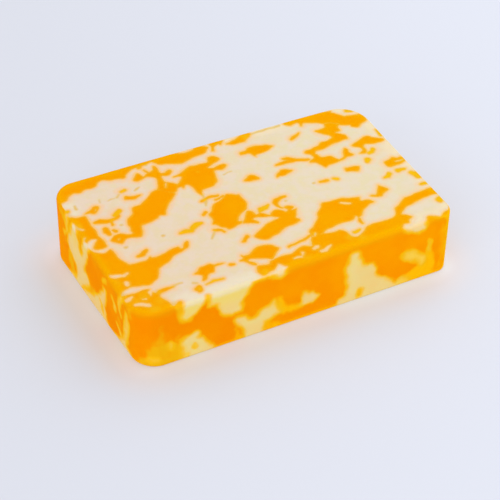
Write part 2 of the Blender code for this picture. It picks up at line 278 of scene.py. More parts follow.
# The same, where the orange is thin and reads as yellow
topYellow = [
    [(-71, 24.5, 0.9), (-68.8, 24.6, 0.7)],
    [(-34.3, -5.3, 0.6), (-31.8, -5.3, 0.9), (-29.8, -5.7, 0.9)],
    [(-28.6, -4.4, 1.1), (-26.5, -3.6, 1.3), (-24.3, -3.6, 0.6)],
    [(-53.5, 15.2, 0.6), (-52, 15.8, 1), (-50.6, 16.7, 0.9)],
    [(-44.9, 26.9, 0.5), (-43.6, 27.1, 0.65)],
    [(57.8, 7, 0.7), (59.3, 7.2, 0.9), (60.6, 8.4, 0.8)],
    [(54.2, 2.1, 0.8), (55.2, 3.3, 1.2)],
    [(55.3, -10.3, 0.5), (57, -10.1, 0.9), (58.4, -9, 0.9)],
    [(62.6, -8.3, 1.1), (64, -8.4, 0.8), (65.2, -8.8, 0.7)],
    [(67, -12.4, 1.0), (67.8, -13.8, 1.4), (68, -15.8, 1.0)],
    [(67.5, -32.8, 1.2), (68.6, -31.8, 0.9)],
    [(68.4, 19.5, 0.3), (68.5, 17.5, 0.5), (68.4, 15.5, 0.4)],
    [(-38, -35.9, 0.1), (-35, -35.4, 0.4), (-32.5, -35.7, 0.35), (-31, -36, 0.1)],
    [(-40.2, -41.8, 0.3), (-40.6, -44, 0.7), (-41.0, -46, 1.2)],
    [(27.2, -34.6, 0.6), (28.5, -34.5, 0.7), (29.9, -34, 0.4)],
    [(66.6, -20.8, 0.5), (68, -20.8, 0.7)],
    [(36, -1.6, 0.5), (37.2, -2.6, 0.7)],
    [(63.6, 36.6, 0.8), (65.4, 36.2, 0.8)],
    [(-0.4, -7.3, 0.5), (0.6, -6.4, 1.2), (2.4, -6, 1.1), (4.2, -5, 0.4)],
]

# Faint threads and spots that barely show through the cream
topFaint = [
    [(-41.3, -4.1, 0.8), (-40.9, -4.1, 0.7)],
    [(-53.2, 8.4, 0.6), (-52.9, 8.4, 0.5)],
    [(-57, -4, 0.7), (-56.6, -4, 0.6)],
    [(-46.5, 26, 0.3), (-48, 24.6, 0.4)],
    [(-39.9, 25.4, 0.35), (-38.6, 26, 0.6), (-37.4, 26.6, 0.3)],
    [(-65.2, 26.5, 0.5), (-65.1, 24.8, 0.6)],
    [(-55, 26.2, 0.15), (-55.2, 24.6, 0.25)],
    [(-52, 24.2, 0.15), (-50.5, 24.5, 0.3), (-49, 24.4, 0.15)],
    [(27.5, -0.7, 0.6), (27.8, -0.7, 0.5)],
    [(12, -6, 0.5), (12.3, -6, 0.4)],
    [(-16.2, 11.8, 0.4), (-16.6, 9.5, 0.6), (-17.2, 7.5, 0.7), (-18.2, 5, 0.3)],
    [(-21.5, -9.6, 0.5), (-23, -11.6, 0.5), (-24.7, -13.6, 0.4)],
    [(-42.3, -33.2, 0.5), (-41.2, -33.6, 0.5)],
    [(-50, -31.4, 0.4), (-46, -31, 0.4)],
    [(20, 39, 0.4), (24, 39.2, 0.5), (28, 39.2, 0.4), (33, 39.2, 0.5)],
    [(-29.3, 38, 0.5), (-29, 38, 0.4)],
    [(-3.2, 19.8, 0.3), (-1, 20.3, 0.2), (0.6, 20.4, 0.3)],
]

# Cream threads that break up the orange of the top
topCream = [
    [(-68.7, -16.3, 0.8), (-66.8, -17.3, 1.1), (-64.3, -18, 0.7), (-62, -17.3, 0.5)],
    [(-64.7, -22.2, 0.9), (-65, -23.2, 0.9)],
    [(-69.3, -31.2, 0.7), (-67.3, -30.4, 0.9), (-66, -29.9, 0.5)],
    [(-66.8, -34.2, 0.8), (-64.5, -35, 0.9), (-62.3, -36.5, 1), (-62, -37.2, 0.7)],
    [(-63.2, -32.5, 0.3), (-61.8, -33.1, 0.4)],
    [(-70.4, 17, 0.6), (-69.3, 14, 0.75), (-67.9, 12.2, 0.6)],
    [(-70.4, 6.6, 0.45), (-68.9, 7.6, 0.5)],
    [(-59, 20.7, 0.12), (-58.6, 21.3, 0.12)],
    [(-57.5, 1.2, 0.12), (-57.1, 1.6, 0.12)],
    [(-27.5, 22, 0.15), (-26.4, 24.6, 0.2)],
    [(-9.8, -8.3, 0.6), (-8, -6.8, 0.8), (-6.5, -5.3, 0.6)],
    [(-1.3, -37.8, 0.4), (0.3, -38, 0.6), (1.8, -38.3, 0.4)],
    [(2.5, -37.5, 0.3), (3.4, -36.2, 0.5)],
    [(8.2, -36.4, 0.7), (9.6, -35.9, 0.9), (10.5, -35.6, 0.4)],
    [(10, -38.6, 0.7), (12, -38.8, 0.9), (13.6, -38, 0.8), (14.9, -37.3, 0.4)],
    [(12, -29.6, 0.3), (13, -28.3, 0.4)],
    [(31.2, -16.5, 0.5), (32.7, -17.5, 0.7), (34.2, -18.5, 0.4)],
    [(65.0, -2.9, 0.2), (66.5, -2.9, 0.35), (68, -2.8, 0.3)],
]

# Where a curd of the top is yellower than the rest: x, y, radius and share
topWarmth = [
    (16.5, 38.6, 2.6, 0.8), (67.6, -2.9, 1.4, 0.8), (-55, 13, 2.2, 0.7),
    (-11.7, 25.5, 1.2, 0.6), (-69.8, 7.4, 2.0, 0.9), (-69, 14.5, 3.4, 0.9), (-69.4, 22.5, 2.4, 0.6),
    (-69.5, -27.5, 3.4, 0.9), (-62, -31.5, 3.4, 0.6), (-57.5, -36.5, 4.0, 0.6), (-61.5, -39.5, 4.0, 0.7),
    (-53.5, -40.5, 3.0, 0.8), (-65.5, -32.4, 2.2, 0.6), (-56, -31.6, 2.4, 0.6), (-67.5, -20.5, 2.6, 0.4),
    (24, -36.5, 3.2, 0.6), (3.5, -39.5, 2.6, 0.5), (-15, -39.5, 2.6, 0.5), (28.5, -38.6, 3.0, 0.6),
    (8.5, -33.2, 2.0, 0.6), (12.6, -28.2, 1.6, 0.8), (-41.6, -36.9, 1.8, 0.9),
]

# Cream curds on the orange of the front face: x and z
frontCream = [
    [(-50.4, 40), (-50.5, 31.5), (-50.8, 29), (-51.3, 27), (-51.9, 25), (-51.6, 23.2), (-50.4, 22.1),
     (-49, 22.2), (-47.5, 22.8), (-45.6, 23.5), (-44.4, 24.4), (-43.4, 26), (-41.9, 27.9), (-40.7, 29.6),
     (-40.1, 31), (-40, 40)],
    [(-39.8, 40), (-39.9, 31), (-39.3, 29.5), (-39.3, 27.5), (-39.8, 25.6), (-39.2, 24.8), (-37.6, 24.4),
     (-36.4, 24), (-35.9, 22.4), (-35.5, 20.4), (-34.6, 18.6), (-33, 17.2), (-31, 16.2), (-29, 16.2),
     (-27.2, 16.6), (-26.4, 18.2), (-26.3, 20.4), (-25.6, 22.6), (-24.4, 24.6), (-23.2, 26.7), (-22, 28.5),
     (-20.6, 29.8), (-18.8, 31), (-19, 40)],
    [(-20.8, 29.8), (-18.5, 30.2), (-14, 29.8), (-12.5, 29.4), (-11.2, 28.4), (-10, 27.5), (-8.4, 27.6),
     (-7, 28.4), (-6.4, 30), (-6.3, 31.5), (-7, 40), (-8.4, 40), (-11.8, 40), (-12.6, 32.4), (-15.4, 31.4),
     (-18.6, 31.8), (-21.6, 31.6)],
    [(-29.4, 12.8), (-28.9, 13.7), (-27.8, 14), (-26.5, 13.6), (-25, 12.8), (-23.8, 11.6), (-22.8, 10.6),
     (-21.5, 10.1), (-20.2, 10.9), (-19.4, 12), (-18.3, 13), (-16.8, 13.6), (-15.2, 14.1), (-14.0, 14.7),
     (-13.2, 15.7), (-12.4, 16.5), (-11.8, 15.4), (-11.0, 12.8), (-10.2, 11.2), (-9.6, 10.0), (-9.9, 8.9),
     (-12.2, 7.8), (-15.4, 7), (-16.6, 6.2), (-17, 3.6), (-17.5, -6), (-25.8, -6), (-25.7, 4), (-26.2, 6),
     (-27.1, 8), (-28.3, 9.8), (-29.2, 11.2)],
    [(-52.5, -6), (-52.6, 4), (-52.4, 7), (-52.6, 9.5), (-52.2, 11.5), (-51, 12.3), (-48.2, 13.2),
     (-46.8, 13.6), (-45.4, 13.2), (-44.8, 12), (-45.4, 10), (-44, 9.2), (-42.8, 7.6), (-41.8, 5.6),
     (-40.8, 4), (-39.5, 2.8), (-38.5, -6)],
    [(0.3, 14.2), (1.2, 14.7), (2.3, 14.2), (3.6, 13.4), (5, 13.6), (6.8, 11.8), (7.6, 11), (6.9, 9.8),
     (5.9, 8.8), (4.6, 8), (1.2, 8), (-1.2, 9), (-0.4, 10), (0.2, 11.4)],
    [(22.2, 26.2), (23.2, 27), (24.4, 27), (25.4, 26.3), (25.8, 25), (26.6, 21.6), (27.3, 20), (28.3, 18.6),
     (29.6, 18), (31, 18.2), (32.3, 17.8), (33.2, 16.8), (33.6, 15), (33.9, 13), (34.4, 11.4), (35.2, 10),
     (36.6, 9), (38.2, 8.2), (39.8, 7), (41.2, 5.8), (43.2, 3.6), (44.4, 3.2), (46.8, 4.6), (48, 4.2),
     (49, 3), (50, -6), (15.5, -6), (16.4, 3.4), (17.6, 4.4), (19, 5), (20, 6.2), (21, 10), (21, 12),
     (20.6, 15), (20.1, 17.6), (20.3, 19.8), (21.4, 22), (22, 24)],
    [(47.2, 17.0), (48.2, 17.7), (50.2, 17.9), (52.4, 16.2), (54.2, 14), (57, 12.8), (57.6, 11.8),
     (57, 10.2), (56.4, 8.4), (54.4, 9.8), (52.4, 11.8), (49.6, 12.8), (48.0, 14.2), (47.4, 15.6)],
    [(45, 40), (45.2, 32.4), (45.7, 30.8), (46.6, 29.6), (48, 28.9), (49.8, 28.2), (51.2, 27.2), (52.4, 27),
     (54, 26.5), (55.4, 26.5), (56.2, 27.6), (56.4, 29.2), (56.4, 32), (57, 33.4), (60.2, 32.2), (63, 31),
     (63.2, 31.9), (66, 32.8), (67, 40)],
]

# Cream curds on the left end: distance round the wall from the front's left end, and z
leftCream = [
    [(-48.6, 40), (-49, 31), (-49.7, 28), (-50.4, 25), (-51.6, 22.3), (-53.2, 19.8), (-54.6, 17),
     (-55.8, 14.6), (-56.4, 13), (-54.6, 13.8), (-52.8, 13.4), (-51.6, 11.6), (-51.4, 10), (-53, 8),
     (-55.4, 5.8), (-57.6, 3.9), (-60.2, 2), (-62, -6), (-73, -6), (-72, 1.8), (-69, 2.6), (-66, 3.2),
     (-64.2, 4.6), (-63.3, 6.6), (-63.4, 9), (-64.6, 11), (-66.8, 12.4), (-69.2, 13.6), (-70.2, 15.5),
     (-70.8, 18), (-70.4, 20.5), (-69, 22.6), (-67.4, 24.6), (-66.4, 27), (-65.8, 29.5), (-64.6, 40),
     (-61.6, 40), (-60.8, 29), (-59.9, 26), (-59.4, 23), (-58.6, 21.2), (-57.4, 20.7), (-56.2, 21.6),
     (-55.6, 24), (-55.2, 27), (-54.2, 29.6), (-52.4, 40)],
    [(-35.3, 21), (-36.6, 20), (-38, 17.6), (-39.6, 15), (-41.5, 12.8), (-44, 10.8), (-46.5, 8.8),
     (-49.5, 6.8), (-52.5, 5), (-55, 3.6), (-58, 2), (-60, -6), (-36.3, -6), (-35.6, 2.5), (-36.3, 5),
     (-36.8, 7.5), (-37, 10), (-36.4, 12.5), (-35.2, 15), (-34.6, 17.5), (-34.7, 19.8)],
]

# Cream streaks on the pressed walls: distance round the wall, z and half width
wallStreaks = [
    [(-15.2, 25, 0.5), (-15.3, 22, 0.9), (-15.8, 19, 1.3), (-16.6, 16, 1.4), (-17.6, 12.5, 1.3),
     (-18.8, 9, 1.2), (-19.6, 6, 1.3), (-21.5, 3.6, 1.8), (-23.5, 1, 2.2)],
    [(-28.5, 1, 1), (-25, 1.6, 1.6), (-21, 2.4, 2.2), (-17, 0.8, 1.4)],
    [(-17.2, 37, 0.8), (-19.2, 30, 0.6), (-20.2, 27.8, 0.6), (-21.2, 25.4, 0.6), (-21.8, 23, 0.3),
     (-21.4, 20.4, 0.0), (-21, 18.5, -0.3)],
    [(-28.2, 23.2, -0.2), (-27, 21.2, 0.4), (-26.2, 19.3, 0.7), (-26.8, 17.4, 0.0)],
    [(-26, 11, 0.1), (-24.8, 8.8, 0.4), (-23.6, 6.4, 0.5)],
    [(-32.8, 28.0, -0.5), (-34.4, 26.6, 0.0), (-37, 24.6, -0.2)],
    [(-70.2, 38, 1), (-70.8, 29, 0.7), (-71.4, 26, 0.5), (-72, 23.4, 0.4)],
    [(-74.8, 18.6, 0.0), (-72.6, 21, 0.2), (-70.6, 23.6, 0.4)],
    [(-6, 5.6, 0.2), (-4, 4.8, 0.5), (-2.5, 4.2, 0.3)],
    [(2.8, 12.6, 0.1), (3.4, 9.5, 0.25)],
    [(119.5, 19, -0.1), (119.4, 15, 0.15)],
    # painted highlight: a pale streak down the right corner
    [(129.2, 19, 0.4), (129.8, 15.5, 0.9), (130.6, 12.5, 0.5)],
]

# Where the two cheeses have smeared together on the walls: share, softness of the edge in mm, and a line of
# distance round, z and half width
wallBlends = [
    # left end, from its back corner
    (0.65, 2.8, [(-77, 28, 1.5), (-73, 27.5, 2.2), (-69.5, 27, 2.2), (-67.5, 28.5, 0.8)]),
    (0.40, 2.0, [(-74.5, 20, 0.6), (-72.5, 15, 1.2)]),
    (0.70, 2.8, [(-70.4, 12.5, 0.8), (-69, 8.5, 2.4), (-67, 5, 1.8)]),
    (0.55, 1.6, [(-58.3, 30.5, 1.4), (-57.7, 26, 1.6), (-57.6, 22.5, 0.8)]),
    (0.30, 2.5, [(-63, 26, 1.5), (-64, 18, 2.0), (-62, 12, 1.5)]),
    (0.55, 2.0, [(-57, 4.5, 0.6), (-52, 8, 1.0), (-46, 11.5, 0.6)]),
    (0.80, 1.5, [(-40.6, 11, 0.7), (-39.8, 8, 1.1), (-38.8, 4, 0.9)]),
    (0.40, 2.0, [(-30.5, 30, 0.4), (-32, 26, 1.1), (-33.4, 20, 0.6)]),
    (0.35, 1.6, [(-28.2, 23.6, 0.6), (-26.6, 19, 1.1), (-26.8, 16, 0.3)]),
    (0.50, 2.0, [(-23.2, 17, 0.8), (-23.2, 11, 1.5), (-22.6, 7, 1.0)]),
    (0.60, 1.4, [(-18.0, 33, 1.8), (-19.3, 29, 1.4), (-20.8, 26, 1.2), (-21.7, 22, 0.9), (-21, 18, 0.4)]),
    (0.75, 1.4, [(-15, 26, 0.8), (-15.4, 22, 1.6), (-16, 16, 1.9), (-18, 10, 1.8), (-19.5, 6, 1.6)]),
    (0.50, 2.2, [(-12.8, 31, 1.4), (-12.6, 25.5, 0.9)]),
    # round the front left corner
    (0.80, 2.6, [(-6.0, 0, 2.2), (-4.6, 4, 2.2), (-2.4, 9, 3.6), (2.4, 8.0, 4.2), (6.0, 3, 2.6),
                 (6.6, 0, 2.6)]),
    (1.00, 2.0, [(-6.5, 1, 4.0), (7, 1, 4.0)]),
    (0.55, 2.2, [(-1.6, 14, 2.2), (-0.6, 17, 1.2), (-0.4, 22.5, 0.6)]),
    (0.45, 2.6, [(6.2, 8, 1.4), (6.6, 14, 1.2)]),
    # beside and under the first creams of the front
    (0.75, 1.8, [(7.8, 30.5, 0.8), (8.0, 25, 0.9), (9.4, 21.8, 1.6), (12, 21.6, 1.3)]),
    (0.90, 1.0, [(20.6, 30.8, 0.6), (20.4, 27, 0.4), (20.0, 25.4, 0.1)]),
    (0.55, 1.6, [(8.4, 11.5, 0.8), (9.0, 7, 1.5), (9.6, 2.5, 2.0)]),
    (1.00, 0.9, [(12.9, 7.6, 0.4), (13.2, 5.5, 1.2)]),
    (0.65, 2.2, [(31.2, 8, 0.3), (31.4, 5, 1.0), (32, 2, 1.7)]),
    # between the middle creams
    (0.35, 2.4, [(45, 12, 1.6), (49.4, 14, 1.6)]),
    (1.00, 2.6, [(50.9, 16.2, 0.2), (51.4, 12.4, 1.1), (53.2, 9.0, 1.8), (56, 8.3, 1.5), (59, 8.5, 1.0)]),
    (0.65, 2.4, [(45.0, 6.4, 0.7), (46.4, 3.4, 1.9), (49.0, 2, 1.4)]),
    (0.45, 1.4, [(68.2, 12.4, 0.4), (67.8, 9.2, 0.5)]),
    (0.35, 1.3, [(87.3, 5.6, 0.9), (87.0, 3.6, 1.6)]),
    (0.35, 1.6, [(81, 5, 1.0), (80.6, 2, 1.2)]),
    # right part of the front, and round its corner
    (0.85, 2.8, [(106.8, 16.8, 1.2), (110.5, 15.6, 2.2), (114.6, 12.4, 2.4), (117.2, 9, 1.8)]),
    (1.00, 2.8, [(116.8, 7.0, 2.6), (113.0, 3.4, 3.2), (107.6, 2.4, 2.2)]),
    (1.00, 2.2, [(119.4, 0.5, 2.6), (119.8, 3.5, 2.0), (121.0, 7.5, 1.5), (120.0, 12, 1.2)]),
    # painted highlight: yellow at the top of the right corner, where it turns from the light
    (0.80, 2.0, [(124.6, 31.5, 1.6), (128, 29, 2.0), (130.5, 26, 2.4)]),
    (0.90, 1.5, [(119.4, 21, 0.4), (119.6, 17, 0.9), (119.2, 13, 0.9)]),
    (0.45, 2.9, [(124.8, 28, 1.4), (126.4, 22, 1.8), (126.6, 13, 1.8), (125.6, 5, 1.8)]),
    # painted highlight: a pale line down the right corner, where the light grazes it
    (1.00, 1.6, [(130, 31, 2.2), (130, 0, 2.2)]),
    (0.55, 1.4, [(109.5, 27.6, 0.5), (114.4, 25.6, 0.7)]),
]

# Orange spots inside the cream of the walls: distance round, z and half width
wallSpots = [
    [(12.9, 7.4, 0.0), (13.2, 5.6, 0.45)],
    [(87.6, 5.0, 1.1), (87.1, 3.6, 1.3)],
    [(20.6, 34, 1.0), (20.5, 29.6, 0.5), (20.2, 26.4, 0.35)],
    [(-41.6, 10, 0.3), (-40.2, 8, 0.6), (-39.8, 5, 0.5)],
]

# Faces that the photograph doesn't show get curds of the same sizes: mm and degrees
hiddenCurds = {
    "wallCount": 34,
    "wallSpan": (136.0, 338.0),     # distance round, over the right end and the back
    "wallPlace": (0.2, 0.8),        # where in its own share of that span each curd lies
    "wallHeight": (0.04, 0.96),     # share of the slab's height
    "wallSize": (2.2, 5.6),         # mean radius of a cream curd
    "wallLean": (20.0, 90.0),
    "underCount": 124,
    "underPlace": (-0.5, 0.5),      # share of the slab's length and width
    "underSize": (2.4, 7.2),        # mean radius of an orange curd, small ones more often
    "underLean": (30.0, 80.0),
    "points": 11,
    "firstTurn": (0.0, 0.5),        # where round the curd its first point lies, in radians
    "uneven": 0.34,                 # the largest share by which a point lies off the radius, in or out
    "drawnOut": (1.45, 0.7),        # how long and how narrow a curd is for its radius
}


# A seeded value between two ends; a power above 1 favours the low end
def pick(ends, power=1):
    return ends[0] + (ends[1] - ends[0]) * rng.random() ** power


# From the first value to the second by a share
def mix(first, second, share):
    return first * (1 - share) + second * share


# Smooth step from 0 to 1 between two values
def easeBetween(value, low, high):
    t = np.clip((value - low) / (high - low), 0, 1)
    return t * t * (3 - 2 * t)


# A closed curve through drawn points: cubic spans whose slopes follow the points on either side
def smoothOutline(points):
    here = np.array(points, float)
    before, after, later = (np.roll(here, n, axis=0) for n in (1, -1, -2))
    cuts = marbling["curveCuts"]
    t = (np.arange(cuts) / cuts)[:, None, None]
    curve = 2 * here + (after - before) * t + (2 * before - 5 * here + 4 * after - later) * t**2
    curve = (curve + (3 * here - before - 3 * after + later) * t**3) / 2
    return curve.transpose(1, 0, 2).reshape(-1, 2)


# Squared distance from places to segments, and how far along each segment the nearest point is
def toSegments(x, y, start, end):
    run = end - start
    along = (x[:, None] - start[:, 0]) * run[:, 0] + (y[:, None] - start[:, 1]) * run[:, 1]
    along = np.clip(along / np.maximum((run**2).sum(axis=1), 1e-9), 0, 1)
    gapX = x[:, None] - start[:, 0] - along * run[:, 0]
    gapY = y[:, None] - start[:, 1] - along * run[:, 1]
    return gapX**2 + gapY**2, along


# Places in the box round some points and a margin, which are all that a drawn line can reach
def placesNear(x, y, points, margin):
    low, high = points.min(axis=0) - margin, points.max(axis=0) + margin
    return np.flatnonzero((x > low[0]) & (x < high[0]) & (y > low[1]) & (y < high[1]))


# How deep each place lies inside a closed outline: distance to its line, positive where the outline is
# crossed an odd number of times on the way out
def depthInside(x, y, points):
    line, reach = smoothOutline(points), marbling["reach"]
    near = placesNear(x, y, line, reach)
    px, py = x[near], y[near]
    end = np.roll(line, -1, axis=0)
    squares, _ = toSegments(px, py, line, end)
    rise = np.where(end[:, 1] == line[:, 1], 1e-9, end[:, 1] - line[:, 1])
    meets = line[:, 0] + (py[:, None] - line[:, 1]) * (end[:, 0] - line[:, 0]) / rise
    straddles = (line[:, 1] > py[:, None]) != (end[:, 1] > py[:, None])
    inside = (straddles & (px[:, None] < meets)).sum(axis=1) % 2 == 1
    gap = np.sqrt(squares.min(axis=1))
    depth = np.full(x.shape, -reach)
    depth[near] = np.clip(np.where(inside, gap, -gap), -reach, reach)
    return depth


# How deep each place lies inside a tapered thread: half width at the nearest point, less the distance
def depthInThread(x, y, points):
    thread, reach = np.array(points, float), marbling["reach"]
    near = placesNear(x, y, thread[:, :2], reach + thread[:, 2].max())
    squares, along = toSegments(x[near], y[near], thread[:-1, :2], thread[1:, :2])
    halfWidth = thread[:-1, 2] + along * (thread[1:, 2] - thread[:-1, 2])
    depth = np.full(x.shape, -reach)
    depth[near] = np.clip((halfWidth - np.sqrt(squares)).max(axis=1), -reach, reach)
    return depth


# The deepest that each place lies in any of several drawings
def depthInAny(x, y, measure, drawings):
    return np.maximum.reduce([measure(x, y, drawing) for drawing in drawings])


# Largest share of any round patch, full at its middle and falling smoothly to its rim
def warmthAt(x, y, patches):
    return np.maximum.reduce([share * easeBetween(radius - np.hypot(x - px, y - py), 0, radius)
                              for px, py, radius, share in patches])


# Largest share of any smeared line, rising over its softness either side of its edge
def blendAt(x, y, lines):
    inside = marbling["smearInside"]
    return np.maximum.reduce([share * easeBetween(depthInThread(x, y, line), -soft, soft * inside)
                              for share, soft, line in lines])


# The waves of a soft noise: how many, their hump's shortest and longest length in steps, and what the sum
# is divided by, so that it passes 1 and is clipped in about one place in nine
waves = {"count": 14, "shortest": 0.7, "longest": 1.5, "calm": 1.6}


# Smooth noise from -1 to 1: a sum of plane waves in seeded directions, about one hump in each step
def softNoise(x, y, z, step):
    total = np.zeros(x.shape)
    for heading, lift, phase, stretch in rng.random((waves["count"], 4)):
        steep = 2 * lift - 1
        level = np.sqrt(1 - steep * steep)
        pace = pi / (step * mix(waves["shortest"], waves["longest"], stretch))
        alongX, alongY = level * cos(2 * pi * heading), level * sin(2 * pi * heading)
        total += np.sin(pace * (alongX * x + alongY * y + steep * z) + 2 * pi * phase)
    return np.clip(total / np.sqrt(waves["count"] / 2) / waves["calm"], -1, 1)


# A rough closed outline round a centre: seeded radii at even turns, drawn out along one direction
def roughCurd(centre, size, degrees):
    leanAngle = radians(degrees)
    points = hiddenCurds["points"]
    turn = np.arange(points) / points * 2 * pi + pick(hiddenCurds["firstTurn"])
    radius = size * (1 + hiddenCurds["uneven"] * (rng.random(points) * 2 - 1))
    stretch, squeeze = hiddenCurds["drawnOut"]
    long, short = radius * np.cos(turn) * stretch, radius * np.sin(turn) * squeeze
    x = centre[0] + long * cos(leanAngle) - short * sin(leanAngle)
    y = centre[1] + long * sin(leanAngle) + short * cos(leanAngle)
    return list(zip(x, y))


# Length round the slab's wall: its straight sides and the quarter circles at its corners
def wallLength():
    radii = sum(slab["cornerRadius"].values())
    return 2 * (slab["length"] + slab["width"] - radii) + radii * pi / 2


# One value for each corner of the slab, shared out by how near a place in plan is to that corner
def cornerShare(x, y, values):
    right = np.clip(x / slab["length"] + 0.5, 0, 1)
    back = np.clip(y / slab["width"] + 0.5, 0, 1)
    return mix(mix(values["frontLeft"], values["frontRight"], right),
               mix(values["backLeft"], values["backRight"], right), back)


# A square net on a rounded rectangle: each corner's square is wrapped on to its quarter disc, ring by ring.
# Each place has its gap from the rim, and each place on the rim the direction that it faces.
def roundedNet(cellsAlong, cellsAcross, inset):
    halfLong, halfWide = slab["length"] / 2 - inset, slab["width"] / 2 - inset
    x, y = np.meshgrid(np.linspace(-halfLong, halfLong, cellsAlong + 1),
                       np.linspace(-halfWide, halfWide, cellsAcross + 1))
    x, y = x.ravel(), y.ravel()
    gap = np.minimum(halfLong - np.abs(x), halfWide - np.abs(y))
    outX, outY = np.zeros(x.shape), np.zeros(x.shape)
    signs = {"frontLeft": (-1, -1), "frontRight": (1, -1), "backRight": (1, 1), "backLeft": (-1, 1)}
    for corner, (signX, signY) in signs.items():
        radius = slab["cornerRadius"][corner] - inset
        p, q = signX * x - (halfLong - radius), signY * y - (halfWide - radius)
        here = (p > 0) & (q > 0)
        p, q = p[here], q[here]
        ring = np.maximum(p, q)
        turn = np.where(p >= q, pi / 4 * q / ring, pi / 2 - pi / 4 * p / ring)
        x[here] = signX * (halfLong - radius + ring * np.cos(turn))
        y[here] = signY * (halfWide - radius + ring * np.sin(turn))
        outX[here], outY[here] = signX * np.cos(turn), signY * np.sin(turn)
    index = np.arange(len(x)).reshape(cellsAcross + 1, cellsAlong + 1)
    sides = ((index[0], outY, -1), (index[-1], outY, 1), (index[:, 0], outX, -1), (index[:, -1], outX, 1))
    for side, out, sign in sides:
        straight = side[(outX[side] == 0) & (outY[side] == 0)]
        out[straight] = sign
    rim = np.concatenate([index[0, :-1], index[:-1, -1], index[-1, :0:-1], index[:0:-1, 0]])
    return {"x": x, "y": y, "gap": gap, "outX": outX[rim], "outY": outY[rim], "index": index, "rim": rim}


# Squares between neighbouring rows of a net, wound so that they face up
def netFaces(index):
    corners = (index[:-1, :-1], index[:-1, 1:], index[1:, 1:], index[1:, :-1])
    return np.stack([c.ravel() for c in corners], axis=1)


# The plain slab: top net, then rings down the rounded rim, wall and foot, then a coarser net below.
# Each point has its place, its turn, how far round the wall it is, how far the rim has set it in, and its
# fall: the distance past the middle of the rim, down the wall, or below 0 on the top.
def slabSurface():
    over, foot, height = slab["topFillet"], slab["footFillet"], slab["height"]
    top = roundedNet(slab["cellsAlong"], slab["cellsAcross"], over)
    under = roundedNet(slab["cellsAlong"] // 2, slab["cellsAcross"] // 2, over)
    rimX, rimY = top["x"][top["rim"]], top["y"][top["rim"]]
    outerX, outerY = rimX + over * top["outX"], rimY + over * top["outY"]
    step = np.hypot(np.diff(outerX, append=outerX[0]), np.diff(outerY, append=outerY[0]))
    around = np.concatenate([[0], np.cumsum(step)[:-1]]) - slab["cornerRadius"]["frontLeft"] * pi / 4
    around = np.mod(around + marbling["roundSeam"], step.sum()) - marbling["roundSeam"]

    bend = np.linspace(0, pi / 2, slab["filletRows"] + 1)[1:]
    wall = np.linspace(height - over, foot, slab["wallRows"] + 1)[1:]
    halfRim = over * pi / 4
    wallFall = halfRim + height - over
    out = [over * np.sin(bend), np.full(len(wall), over), over - foot * (1 - np.cos(bend))]
    z = [height - over * (1 - np.cos(bend)), wall, foot * (1 - np.sin(bend))]
    turn = [bend / (pi / 2), np.ones(len(wall)), 1 + bend / (pi / 2)]
    fall = [over * bend - halfRim, wallFall - wall, wallFall + bend]
    out, z, turn, fall = (np.concatenate(rows)[:, None] for rows in (out, z, turn, fall))

    topCount, ringShape, underCount = len(top["x"]), (len(z), len(rimX)), len(under["x"])

    # one value for each point, from what the top, the rings and the underside have
    def layered(onTop, onRings, below):
        layers = ((onTop, topCount), (onRings, ringShape), (below, underCount))
        return np.concatenate([np.broadcast_to(values, shape).ravel() for values, shape in layers])

    roundAll = layered(0, around, 0)
    roundAll[top["rim"]] = around

    rings = np.arange(len(z) * len(rimX)).reshape(ringShape) + topCount
    rings = np.vstack([top["rim"], rings])
    closed = np.hstack([rings, rings[:, :1]])
    underStart = topCount + len(z) * len(rimX)
    last, inner = rings[-1], under["rim"] + underStart
    nextInner = np.roll(inner, -1)
    first, middle, third = last[0::2], last[1::2], np.roll(last, -1)[1::2]
    links = [(first, inner, middle), (middle, inner, nextInner), (middle, nextInner, third)]
    outwards = [0, 3, 2, 1]
    return {
        "x": layered(top["x"], rimX + out * top["outX"], under["x"]),
        "y": layered(top["y"], rimY + out * top["outY"], under["y"]),
        "z": layered(height, z, 0),
        "turn": layered(0, turn, 2),
        "inset": layered(over, over - out, over),
        "around": roundAll,
        "fall": layered(-halfRim - top["gap"], fall, height + under["gap"]),
        "squares": np.concatenate([netFaces(top["index"]), netFaces(closed)[:, outwards],
                                   netFaces(under["index"])[:, ::-1] + underStart]),
        "links": np.concatenate([np.stack(link, axis=1) for link in links]),
    }


# Top drawing: cream, raised by each orange outline and thread, cut back by each cream thread
def topMarbling(x, y):
    spread = marbling["threadSpread"]
    yellow = depthInAny(x, y, depthInThread, topYellow) + spread
    depth = np.maximum(depthInAny(x, y, depthInside, topOrange), yellow)
    depth = np.maximum(depth, depthInAny(x, y, depthInThread, topFlecks) + spread)
    depth = np.minimum(depth, -depthInAny(x, y, depthInThread, topCream))
    faint = easeBetween(depthInAny(x, y, depthInThread, topFaint), *marbling["faintEdge"])
    warm = np.maximum(warmthAt(x, y, topWarmth), easeBetween(yellow, *marbling["yellowEdge"]))
    return depth, np.maximum(warm, marbling["faintShare"] * faint)


# Wall drawing for the front and the left end: orange, cut back by the cream, with orange spots put back
def wallMarbling(around, z):
    frontStart = slab["length"] / 2 - slab["cornerRadius"]["frontLeft"]
    cream = depthInAny(around - frontStart, z, depthInside, frontCream)
    cream = np.maximum(cream, depthInAny(around, z, depthInside, leftCream))
    cream = np.maximum(cream, depthInAny(around, z, depthInThread, wallStreaks))
    spots = depthInAny(around, z, depthInThread, wallSpots)
    return np.maximum(-cream, spots), blendAt(around, z, wallBlends)


